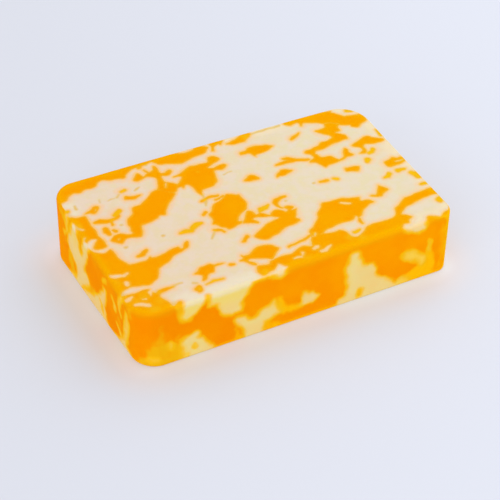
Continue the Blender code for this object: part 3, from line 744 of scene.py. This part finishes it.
# Curds for the right end and the back: seeded rough outlines of cream, spread along the wall
def hiddenWallMarbling(around, z):
    place = np.where(around < 0, around + wallLength(), around)
    start, end = hiddenCurds["wallSpan"]
    count = hiddenCurds["wallCount"]
    outlines = []
    for i in range(count):
        along = start + (end - start) * (i + pick(hiddenCurds["wallPlace"])) / count
        centre = (along, slab["height"] * pick(hiddenCurds["wallHeight"]))
        outlines.append(roughCurd(centre, pick(hiddenCurds["wallSize"]), pick(hiddenCurds["wallLean"])))
    return -depthInAny(place, z, depthInside, outlines)


# Curds for the underside: seeded rough outlines of orange on cream
def underMarbling(x, y):
    outlines = []
    for _ in range(hiddenCurds["underCount"]):
        centre = [slab[side] * pick(hiddenCurds["underPlace"]) for side in ("length", "width")]
        size = pick(hiddenCurds["underSize"], power=2)
        outlines.append(roughCurd(centre, size, pick(hiddenCurds["underLean"])))
    return depthInAny(x, y, depthInside, outlines)


# All drawings brought together on the slab. The top's runs on over the rim along the line of sight, the
# walls' takes over from it half way round, unseen walls fade in past the drawn ones, and then comes the
# underside's. Each point gets its depth in an orange curd, and how warm it is: yellower on the top, or
# smeared on a wall.
def marbleSlab(surface):
    x, y, z, turn = (surface[key] for key in ("x", "y", "z", "turn"))
    push, step = marbling["ragged"], marbling["raggedStep"]
    shiftX, shiftY, shiftZ = (push * softNoise(x, y, z, step) for _ in range(3))
    drop = slab["height"] - z
    slopeX, slopeY = marbling["sightAcross"]
    topX, topY = x - slopeX * drop, y - slopeY * drop
    depth, warm = topMarbling(topX + shiftX, topY + shiftY)

    shown = turn > 0
    around = surface["around"][shown] + marbling["raggedWall"] * shiftX[shown]
    height = z[shown] + surface["inset"][shown] + marbling["wallLift"]
    height += marbling["raggedWall"] * shiftZ[shown]
    drawn, drawnWarm = wallMarbling(around, height)
    unseen = hiddenWallMarbling(around, height)
    folded, _ = topMarbling(topX[shown], topY[shown])
    unseen = mix(folded + marbling["foldSpread"], unseen, easeBetween(drop[shown], *marbling["foldFade"]))
    hidden = easeBetween(around, *marbling["rightFade"]) + 1 - easeBetween(around, *marbling["leftFade"])

    onWall = easeBetween(turn[shown], *marbling["wallTurn"])
    depth[shown] = mix(depth[shown], mix(drawn, unseen, hidden), onWall)
    warm[shown] = mix(warm[shown], drawnWarm * (1 - hidden), onWall)
    onUnder = easeBetween(turn, *marbling["underTurn"])
    below = onUnder > 0
    under = underMarbling(x[below] + shiftX[below], y[below] + shiftY[below])
    depth[below] = mix(depth[below], under, onUnder[below])
    warm *= 1 - onUnder
    pressed = easeBetween(turn, *marbling["pressedTurn"]) * (1 - marbling["underCut"] * onUnder)
    return {"curd": depth, "warm": warm, "pressed": pressed, "fall": surface["fall"]}


# The slab leaned and swollen as the block is: corners moved by their shares, bows that fade towards the
# ends of a side, low dips in all faces, a crease along each curd, then the whole held inside the CAD node
def settleSlab(surface, marble):
    x, y, z, turn = (surface[key] for key in ("x", "y", "z", "turn"))
    up = z / slab["height"]
    along, across = x / (slab["length"] / 2), y / (slab["width"] / 2)
    leanX, leanY, rise = ({k: v[i] for k, v in slab["lean"].items()} for i in range(3))
    newX = x + cornerShare(x, y, slab["footShift"]) + up * cornerShare(x, y, leanX)
    newY = y + up * cornerShare(x, y, leanY)
    newZ = z + up * cornerShare(x, y, rise)
    newY += slab["backBow"] * np.maximum(0, 1 - along**2) * np.maximum(0, across) ** 3
    newX -= slab["leftBow"] * np.maximum(0, 1 - across**2) * np.maximum(0, -along) ** 3
    waveHeight, waveX, waveY = slab["topWave"]
    newZ += waveHeight * np.sin(2 * pi * newX / waveX) * np.cos(2 * pi * newY / waveY) * up**4

    even, broad, small = slab["dipShares"]
    broadStep, smallStep = slab["dipSteps"]
    dip = even + broad * softNoise(x, y, z, broadStep) + small * softNoise(x, y, z, smallStep)
    crease = np.exp(-((marble["curd"] / slab["seamWidth"]) ** 2)) * (1 - marble["pressed"])
    dip = slab["waviness"] * dip + slab["seamDepth"] * crease
    coreX, coreY = slab["length"] / 2 - slab["coreInset"], slab["width"] / 2 - slab["coreInset"]
    outX, outY = x - np.clip(x, -coreX, coreX), y - np.clip(y, -coreY, coreY)
    sideways = dip * np.sin(turn * pi / 2) / np.maximum(np.hypot(outX, outY), 1e-6)
    newX -= sideways * outX
    newY -= sideways * outY
    newZ -= dip * np.cos(np.minimum(turn, 1) * pi / 2)

    place = np.stack([newX, newY, newZ], axis=1) * mm
    low, high = (np.array(corner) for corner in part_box("cheese_slab"))
    ownLow, ownHigh = place.min(axis=0), place.max(axis=0)
    middle = (low + high) / 2
    place[:, :2] += (middle - (ownLow + ownHigh) / 2)[:2]
    shrink = np.minimum(1, (high - low) / (ownHigh - ownLow))[:2]
    place[:, :2] = middle[:2] + (place[:, :2] - middle[:2]) * shrink
    place[:, 2] = np.minimum(place[:, 2], high[2])
    return place


# Mesh from whole arrays: the places, then the corners of all faces in one row and where each face starts
# in it, and one number a point for each attribute
def meshFrom(name, place, squares, links, attributes):
    mesh = bpy.data.meshes.new(name)
    corners = np.concatenate([squares.ravel(), links.ravel()]).astype(np.int32)
    sizes = np.concatenate([np.full(len(squares), 4), np.full(len(links), 3)])
    mesh.vertices.add(len(place))
    mesh.vertices.foreach_set("co", place.astype(np.float32).ravel())
    mesh.loops.add(len(corners))
    mesh.loops.foreach_set("vertex_index", corners)
    mesh.polygons.add(len(sizes))
    mesh.polygons.foreach_set("loop_start", (np.cumsum(sizes) - sizes).astype(np.int32))
    mesh.update(calc_edges=True)
    mesh.validate()
    mesh.polygons.foreach_set("use_smooth", np.ones(len(mesh.polygons), bool))
    for key, values in attributes.items():
        mesh.attributes.new(key, "FLOAT", "POINT").data.foreach_set("value", values.astype(np.float32))
    return mesh


# A socket that adds up: each operator on it makes one Math node
class Wire:
    def __init__(self, paint, socket):
        self.paint, self.socket = paint, socket

    def maths(self, operation, *values):
        node = self.paint.node("ShaderNodeMath", {"operation": operation}, dict(enumerate(values)))
        return Wire(self.paint, node.outputs[0])

    def __add__(self, other):
        return self.maths("ADD", self, other)

    def __sub__(self, other):
        return self.maths("SUBTRACT", self, other)

    def __rsub__(self, other):
        return self.maths("SUBTRACT", other, self)

    def __mul__(self, other):
        return self.maths("MULTIPLY", self, other)

    def __neg__(self):
        return self.maths("MULTIPLY", self, -1)

    __radd__, __rmul__ = __add__, __mul__


# A material being painted: one method makes every kind of node, and colours get their alpha as they go in
class Paint:
    def __init__(self, name):
        self.material = bpy.data.materials.new(name)
        self.material.use_nodes = True
        self.tree = self.material.node_tree
        self.shader = self.tree.nodes["Principled BSDF"]
        self.place = self.wire("ShaderNodeTexCoord", {}, {}, "Object")

    def plug(self, node, values):
        for key, value in values.items():
            socket = node.inputs[key]
            if isinstance(value, Wire):
                self.tree.links.new(value.socket, socket)
            else:
                socket.default_value = (*value, 1) if socket.type == "RGBA" else value

    def node(self, kind, settings, values):
        node = self.tree.nodes.new(kind)
        for key, value in settings.items():
            setattr(node, key, value)
        self.plug(node, values)
        return node

    def wire(self, kind, settings, values, output):
        return Wire(self, self.node(kind, settings, values).outputs[output])

    def attribute(self, name):
        return self.wire("ShaderNodeAttribute", {"attribute_name": name}, {}, "Fac")

    def vector(self, operation, *values, output="Vector"):
        return self.wire("ShaderNodeVectorMath", {"operation": operation}, dict(enumerate(values)), output)

    # noise of about one hump in each size, in mm
    def noise(self, place, size, detail, rough):
        values = {"Vector": place, "Scale": 1 / (size * mm), "Detail": detail, "Roughness": rough}
        return self.wire("ShaderNodeTexNoise", {}, values, "Fac")

    # smooth step from 0 to 1 between two values
    def ease(self, value, low, high):
        values = {"Value": value, "From Min": low, "From Max": high}
        return self.wire("ShaderNodeMapRange", {"interpolation_type": "SMOOTHSTEP"}, values, "Result")

    # from the first colour to the second by a share, or that much of the first times the second
    def blend(self, share, first, second, way="MIX"):
        values = {"Factor": share, 6: first, 7: second}
        return self.wire("ShaderNodeMix", {"data_type": "RGBA", "blend_type": way}, values, 2)


# Linear colours, top and pressed sides apart
curdColours = {
    "topCream": (0.562, 0.480, 0.308),
    "topCreamPale": (0.570, 0.482, 0.362),
    "topCreamPink": (0.608, 0.448, 0.282),        # the drier cream between close flecks
    "topCreamRimHighlight": (0.585, 0.528, 0.382),         # painted highlight: the cream turns lighter over the rim, on the left
    "topCreamRimHighlightRight": (0.618, 0.508, 0.325),    # and on the right
    "topPeach": (0.655, 0.415, 0.145),            # where an orange curd shows through its edge
    "topGlow": (0.555, 0.378, 0.105),             # and where a faint thread does
    "topGold": (0.622, 0.308, 0.012),             # the thin edge of an orange curd
    "topOrange": (0.660, 0.250, 0.0),
    "topAmber": (0.655, 0.268, 0.0),
    "topRimHighlight": (0.655, 0.305, 0.0),                # painted highlight: lighter orange towards the rim
    "topYellow": (0.635, 0.342, 0.005),
    "rimHighlight": (0.715, 0.600, 0.325),             # painted highlight: a pale band under the rim, on the left part of the front
    "rimCream": (0.742, 0.560, 0.140),            # and the cream below it
    "rimHighlightRight": (0.765, 0.552, 0.262),            # the same painted highlight on the right part
    # painted highlight: yellower orange just under the rim
    "rimOrangeHighlight": (0.760, 0.310, 0.001),
    "sideCream": (0.735, 0.565, 0.170),
    "sideCreamPale": (0.728, 0.558, 0.208),
    "sidePeach": (0.745, 0.520, 0.176),
    "sideHalo": (0.790, 0.480, 0.080),            # cream beside an orange curd
    "sideYellow": (0.800, 0.510, 0.055),          # half blended cream
    "sideGold": (0.850, 0.430, 0.002),            # half blended orange
    "sideGoldLeftShaded": (0.760, 0.385, 0.004),        # and the same towards the left end, darker: partly painted shade
    "sideAmber": (0.797, 0.425, 0.006),           # where orange thins out into cream
    "sideOrange": (0.836, 0.288, 0.0),
    "sideDeep": (0.826, 0.255, 0.0),
    "leftTop": (0.995, 0.930, 0.940),             # deeper in colour and a little darker towards the left end: partly the block's own tone, partly painted shade
    "leftSide": (0.975, 0.885, 0.935),
}

# Where each change of colour starts and is full, and how far a noise pushes its edge about
spans = {
    # a noise's own value, from 0 to 1
    "topPale": (0.35, 0.65, 0.0),
    "topAmber": (0.4, 0.65, 0.0),
    "sidePeach": (0.38, 0.62, 0.0),
    "sideDeep": (0.35, 0.65, 0.0),
    "smeared": (0.12, 0.9, 0.9),    # share of the two cheeses smeared together
    # mm into an orange curd, below 0 outside it
    "topPink": (-2.6, -0.8, 4.0),
    "topPeach": (-1.15, -0.3, 0.6),
    "topEdge": (-0.34, 0.28, 0.0),
    "topGold": (0.05, 1.2, 0.0),
    "sideHalo": (-1.5, -0.3, 0.0),
    "sideAmber": (0.0, 1.8, 2.2),
    "sidePale": (0.8, 2.8, 2.0),    # mm into a cream curd
    # mm past the middle of the rim and down the wall, below 0 on the top
    "topCreamRimHighlight": (-6.5, -1.5, 3.0),
    "topRimHighlight": (-3.6, -0.4, 3.0),
    "rimOrangeHighlight": (0.3, 4.2, 2.0),   # where the painted highlight on the rim's orange ends
    "rimHighlight": (1.5, 3.9, 2.0),     # where its pale band ends
    "rimCream": (3.5, 11.5, 3.0),   # and where its cream does
    # painted light: where the orange turns gold just above the foot, lifting its shade
    "footPaintedLight": (27.6, 29.4, 0.0),
    # mm towards the left end, from the middle
    "leftTop": (-60.0, 60.0, 0.0),
    "leftCream": (56.0, 68.0, 0.0),
    "leftSide": (-30.0, 60.0, 0.0),
    "leftGold": (20.0, 66.0, 0.0),
    "leftRim": (12.0, 22.0, 0.0),
}

# The cheese's noises, the strengths of its changes of colour, and how it takes the light
finish = {
    "fine": (0.7, 3.0, 0.6),        # each noise: size in mm, detail and roughness
    "mottle": (5.0, 3.0, 0.55),
    "broad": (14.0, 2.0, 0.5),
    "smear": (4.0, 3.0, 0.55),
    "pores": (0.9, 3.0, 0.6),
    "smearStretch": (1, 1, 0.4),    # streaks run up and down the pressed sides
    "ragged": 0.50,                 # fine raggedness of a curd's edge, mm
    "raggedLoss": 0.4,              # share of it that pressing takes away
    "streaked": 1.4,                # how far the streaks push the edges on the pressed sides, mm
    "pinkHolds": 0.6,               # share of the pinkish cream that stays as it is at the rim
    "peachShare": 0.8,
    "rimRise": 4.0,                 # how much higher the cream of the rim ends on the right, mm
    # share of the gold painted above the foot as light
    "footLightShare": 0.75,
    "smearThins": 0.6,              # how much thinner the orange is in a smear, mm
    "edgePressed": 0.62,            # softness of a curd's edge on the pressed sides, mm
    "edgeSmeared": 2.2,             # this many times more in a full smear
    "edgeInside": 0.6,              # share of the softness that lies inside the curd
    "roughness": 0.46,
    "roughMottle": 0.12,
    "roughFine": 0.08,
    "bump": 0.06,
    "bumpHeight": 0.3,              # mm
    "bumpMottle": 0.4,
    "specular": 0.0006,
    "subsurface": 0.12,
    "subsurfaceScale": 0.6,         # mm
    "subsurfaceRadius": (1.0, 0.5, 0.15),
}


# The cheese: cut top and pressed sides each layer a cream and an orange by depth in a curd, by fall past
# the rim and by place along the slab; the two meet by how pressed a place is
def paintCheese():
    paint = Paint("marbledCheese")
    blend, colour = paint.blend, curdColours
    curd, warm, pressed, fall = (paint.attribute(name) for name in ("curd", "warm", "pressed", "fall"))
    fine, mottle, broad = (paint.noise(paint.place, *finish[name]) for name in ("fine", "mottle", "broad"))
    smear = paint.noise(paint.vector("MULTIPLY", paint.place, finish["smearStretch"]), *finish["smear"])
    edge = curd + (fine - 0.5) * (finish["ragged"] * (1 - pressed * finish["raggedLoss"]))
    edge = edge + (smear - 0.5) * pressed * finish["streaked"]
    leftwards = paint.wire("ShaderNodeSeparateXYZ", {}, {0: paint.place}, "X") * (-1 / mm)

    # share of one change of colour: a smooth step over its span, pushed about by a noise
    def share(value, name, noise=mottle):
        low, high, push = spans[name]
        return paint.ease(value + (noise - 0.5) * push if push else value, low, high)

    rightward = 1 - share(leftwards, "leftRim")
    smeared = share(warm, "smeared", smear)

    # the cut top: cream, pinkish near the curds, with a peach halo, then gold, then orange
    cream = blend(share(mottle, "topPale"), colour["topCream"], colour["topCreamPale"])
    near = share(curd, "topPink", broad)
    cream = blend(near, cream, colour["topCreamPink"])
    # painted highlight: the top's cream turns lighter towards the rim
    rim = blend(rightward, colour["topCreamRimHighlight"], colour["topCreamRimHighlightRight"])
    cream = blend(share(fall, "topCreamRimHighlight") * (1 - near * finish["pinkHolds"]), cream, rim)
    cream = blend(share(edge, "topPeach"), cream, colour["topPeach"])
    cream = blend(warm, cream, colour["topGlow"])
    orange = blend(share(broad, "topAmber"), colour["topOrange"], colour["topAmber"])
    # painted highlight: the top's orange turns lighter towards the rim
    orange = blend(share(fall, "topRimHighlight"), orange, colour["topRimHighlight"])
    orange = blend(share(edge, "topGold"), colour["topGold"], orange)
    orange = blend(warm, orange, colour["topYellow"])
    topColour = blend(share(edge, "topEdge"), cream, orange)
    # partly painted shade: the top turns deeper and a little darker towards the left end
    topColour = blend(share(leftwards, "leftTop"), topColour, colour["leftTop"], "MULTIPLY")

    # the pressed sides: a painted highlight of whitish cream under the rim, amber where it meets the orange
    cream = blend(share(-curd, "sidePale"), colour["sideCream"], colour["sideCreamPale"])
    cream = blend(share(broad, "sidePeach") * finish["peachShare"], cream, colour["sidePeach"])
    # painted highlight: a pale band under the rim, then yellower cream below it
    rim = blend(share(fall, "rimHighlight"), colour["rimHighlight"], colour["rimCream"])
    rim = blend(rightward, rim, colour["rimHighlightRight"])
    cream = blend(share(fall + rightward * finish["rimRise"], "rimCream"), rim, cream)
    cream = blend(share(edge, "sideHalo"), cream, colour["sideHalo"])
    cream = blend(smeared, cream, colour["sideYellow"])
    # partly painted shade: cream, orange and gold turn deeper and a little darker towards the left end
    cream = blend(share(leftwards, "leftCream"), cream, colour["leftTop"], "MULTIPLY")
    orange = blend(share(broad, "sideDeep"), colour["sideOrange"], colour["sideDeep"])
    # painted highlight: yellower orange just under the rim
    orange = blend(share(fall, "rimOrangeHighlight"), colour["rimOrangeHighlight"], orange)
    orange = blend(share(leftwards, "leftSide"), orange, colour["leftSide"], "MULTIPLY")
    gold = blend(share(leftwards, "leftGold"), colour["sideGold"], colour["sideGoldLeftShaded"])
    orange = blend(smeared, orange, gold)
    # painted light: the orange turns gold just above the foot, lifting its shade
    orange = blend(share(fall, "footPaintedLight") * finish["footLightShare"], orange, gold)
    orange = blend(share(edge - warm * finish["smearThins"], "sideAmber", broad), colour["sideAmber"], orange)
    soft = finish["edgePressed"] * (warm * finish["edgeSmeared"] + 1)
    sideColour = blend(paint.ease(edge, -soft, soft * finish["edgeInside"]), cream, orange)

    roughness = finish["roughness"] + (mottle - 0.5) * finish["roughMottle"]
    relief = paint.noise(paint.place, *finish["pores"]) + mottle * finish["bumpMottle"]
    bump = {"Strength": finish["bump"], "Distance": finish["bumpHeight"] * mm, "Height": relief}
    paint.plug(paint.shader, {
        "Base Color": blend(pressed, topColour, sideColour),
        "Roughness": roughness + (fine - 0.5) * finish["roughFine"],
        "Normal": paint.wire("ShaderNodeBump", {}, bump, "Normal"),
        "Specular IOR Level": finish["specular"],
        "Subsurface Weight": finish["subsurface"],
        "Subsurface Scale": finish["subsurfaceScale"] * mm,
        "Subsurface Radius": finish["subsurfaceRadius"],
    })
    return paint.material


# The one piece: plain surface, marbling on it, then both settled into the block's own shape
def makeSlab():
    surface = slabSurface()
    print("surface:", len(surface["x"]), "points on the plain slab")
    marble = marbleSlab(surface)
    print("marbling:", round(100 * (marble["curd"] > 0).mean()), "% of the points are orange")
    place = settleSlab(surface, marble)
    mesh = meshFrom("marbledSlab", place, surface["squares"], surface["links"], marble)
    mesh.materials.append(paintCheese())
    piece = bpy.data.objects.new("marbledSlab", mesh)
    bpy.context.scene.collection.objects.link(piece)
    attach(piece, "root")
    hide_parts("cheese_slab")
    print("slab:", 2 * len(surface["squares"]) + len(surface["links"]), "triangles")


# A lit table, whose shadows stay pale: linear colours, and mm
floorLook = {
    "size": 30000.0,
    "drop": 0.02,                   # it lies this far under the slab's foot
    "colour": (0.350, 0.393, 0.490),
    "farShade": 0.87,               # how much darker it is far to the left of the view than to its right
    "farSpan": 190.0,               # either way
    "glow": (0.285, 0.240, 0.180),
    "nearGlow": (0.357, 0.252, 0.148),      # warmer beside the cheese, which throws its colour there
    "nearSpan": 19.0,
    "footGlowLeft": (0.395, 0.285, 0.188),  # right beside its foot
    "footGlowRight": (0.395, 0.335, 0.250),
    "footTurn": 60.0,               # from the middle of the view to where the right one is full
    "footSpan": 7.0,
    "roughness": 0.9,
    "specular": 0.1,
}


# The floor: a square whose glow falls with the distance from a rounded box round the slab's foot
def makeFloor():
    half, drop = floorLook["size"] * mm / 2, floorLook["drop"] * mm
    corners = [(-half, -half, -drop), (half, -half, -drop), (half, half, -drop), (-half, half, -drop)]
    mesh = bpy.data.meshes.new("paleFloor")
    mesh.from_pydata(corners, [], [(0, 1, 2, 3)])
    paint = Paint("paleFloor")
    azimuth = radians(viewpoint["azimuth"])
    across = paint.vector("DOT_PRODUCT", paint.place, (cos(azimuth), sin(azimuth), 0), output="Value")
    span = floorLook["farSpan"] * mm
    dim = [value * floorLook["farShade"] for value in floorLook["colour"]]

    reach = slab["cornerRadius"]["frontLeft"] * mm
    core = [(cadBox[1][i] - cadBox[0][i]) / 2 - reach for i in range(2)] + [1]   # so tall that z never counts
    beyond = paint.vector("SUBTRACT", paint.vector("ABSOLUTE", paint.place), core)
    gap = paint.vector("LENGTH", paint.vector("MAXIMUM", beyond, (0, 0, 0)), output="Value")
    near = 1 - paint.ease(gap, reach, reach + floorLook["nearSpan"] * mm)
    beside = 1 - paint.ease(gap, reach, reach + floorLook["footSpan"] * mm)
    turned = paint.ease(across, 0.0, floorLook["footTurn"] * mm)
    footGlow = paint.blend(turned, floorLook["footGlowLeft"], floorLook["footGlowRight"])
    glow = paint.blend(near, floorLook["glow"], floorLook["nearGlow"])
    paint.plug(paint.shader, {
        "Base Color": paint.blend(paint.ease(across, -span, span), dim, floorLook["colour"]),
        "Roughness": floorLook["roughness"],
        "Specular IOR Level": floorLook["specular"],
        "Emission Color": paint.blend(beside, glow, footGlow),
        "Emission Strength": 1.0,
    })
    mesh.materials.append(paint.material)
    floor = bpy.data.objects.new("paleFloor", mesh)
    bpy.context.scene.collection.objects.link(floor)
    print("floor: plain and pale")


# Most of the light comes evenly from above, and a little more from the left
light = {
    "skyColour": (0.93, 0.96, 1.0),
    "skyStrength": 1.20,
    "panelColour": (1.0, 0.99, 0.97),
    "panels": [                     # place and size in metres, and power
        ((0.80, 0.30, 1.10), 1.5, 8.0),      # overhead
        ((-1.49, -1.01, 0.60), 1.5, 13.5),   # low on the left
        ((0.55, -0.85, 0.45), 0.8, 0.9),     # small, on the right
    ],
}


# Soft studio light: an even sky, and square panels that face the slab
def makeLight():
    scene = bpy.context.scene
    world = bpy.data.worlds.new("softStudio")
    world.use_nodes = True
    sky = world.node_tree.nodes["Background"]
    sky.inputs["Color"].default_value = (*light["skyColour"], 1)
    sky.inputs["Strength"].default_value = light["skyStrength"]
    scene.world = world
    for place, size, power in light["panels"]:
        panel = bpy.data.lights.new("panel", "AREA")
        panel.shape = "SQUARE"
        panel.size = size
        panel.energy = power
        panel.color = light["panelColour"]
        lamp = bpy.data.objects.new("panel", panel)
        lamp.location = place
        lamp.rotation_euler = (-lamp.location).to_track_quat("-Z", "Y").to_euler()
        scene.collection.objects.link(lamp)
    scene.view_settings.view_transform = "Standard"
    scene.view_settings.look = "None"
    print("light: soft sky and", len(light["panels"]), "panels")


# The view of the photograph: degrees, mm
viewpoint = {
    "azimuth": -29.87,
    "elevation": 40.37,
    "roll": 2.52,
    "distance": 735.0,
    "lens": 129.6,
    "sensor": 36.0,
    "aimHeight": 14.9,
    "aimAside": -0.32,
    "aimUp": -8.08,
    "clip": (10.0, 100000.0),
}


# Camera on a ray from the aim: its right and up are turned by the roll about that ray
def makeCamera():
    azimuth, elevation, roll = (radians(viewpoint[key]) for key in ("azimuth", "elevation", "roll"))
    back = Vector((sin(azimuth) * cos(elevation), -cos(azimuth) * cos(elevation), sin(elevation)))
    level = Vector((cos(azimuth), sin(azimuth), 0))
    rise = back.cross(level)
    right = level * cos(roll) + rise * sin(roll)
    up = rise * cos(roll) - level * sin(roll)
    aim = Vector((0, 0, viewpoint["aimHeight"])) + right * viewpoint["aimAside"] + up * viewpoint["aimUp"]
    eye = (aim + back * viewpoint["distance"]) * mm
    data = bpy.data.cameras.new("photoView")
    data.lens = viewpoint["lens"]
    data.sensor_width = viewpoint["sensor"]
    data.clip_start, data.clip_end = (distance * mm for distance in viewpoint["clip"])
    camera = bpy.data.objects.new("photoView", data)
    turned = Matrix((right, up, back)).transposed()
    camera.matrix_world = Matrix.LocRotScale(eye, turned.to_quaternion(), Vector((1, 1, 1)))
    bpy.context.scene.collection.objects.link(camera)
    bpy.context.scene.camera = camera
    print("camera: lens", data.lens, "mm")


makeSlab()
makeFloor()
makeLight()
makeCamera()
